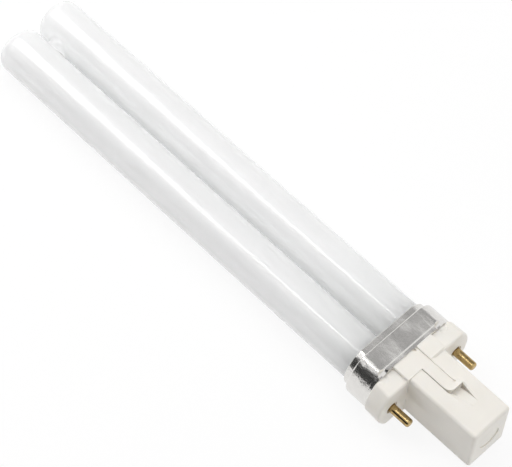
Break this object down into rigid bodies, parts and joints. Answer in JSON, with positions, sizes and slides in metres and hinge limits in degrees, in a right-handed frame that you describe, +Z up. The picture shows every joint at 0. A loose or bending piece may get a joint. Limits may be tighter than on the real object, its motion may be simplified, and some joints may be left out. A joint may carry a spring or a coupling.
{
  "type": "two-pin compact fluorescent lamp",
  "caption": "Compact fluorescent lamp: parallel glass tubes joined near their tips, in a metal sleeve and a white plastic cap with brass pins and a square post with latches.",
  "frame": {"origin": "middle of the bounding box in plan, on the surface that the lamp lies on", "axes": "+X along the lamp from the tips of the tubes to the end of the post, tilted up by 0.9 degrees as the lamp lies; +Y across the two tubes; +Z up, out of the wide face of the cap that is on top"},
  "size_m": [0.167, 0.032, 0.0176],
  "materials": {
    "coated_glass": "gloss",
    "sleeve_metal": "polished",
    "cap_plastic": "satin",
    "pin_brass": "polished",
    "cement": "matte",
    "starter_glass": "gloss",
    "lead_wire": "satin",
    "capacitor_lacquer": "gloss"
  },
  "bodies": {
    "root": {"glass_envelope": "coated_glass", "metal_sleeve": "sleeve_metal", "base_housing": "cap_plastic", "basing_cement": "cement", "contact_pin_left": "pin_brass", "contact_pin_right": "pin_brass", "pin_lead_left": "lead_wire", "pin_lead_right": "lead_wire", "glow_starter": "starter_glass", "starter_lead_left": "lead_wire", "starter_lead_right": "lead_wire", "starter_capacitor": "capacitor_lacquer"}
  },
  "joints": []
}
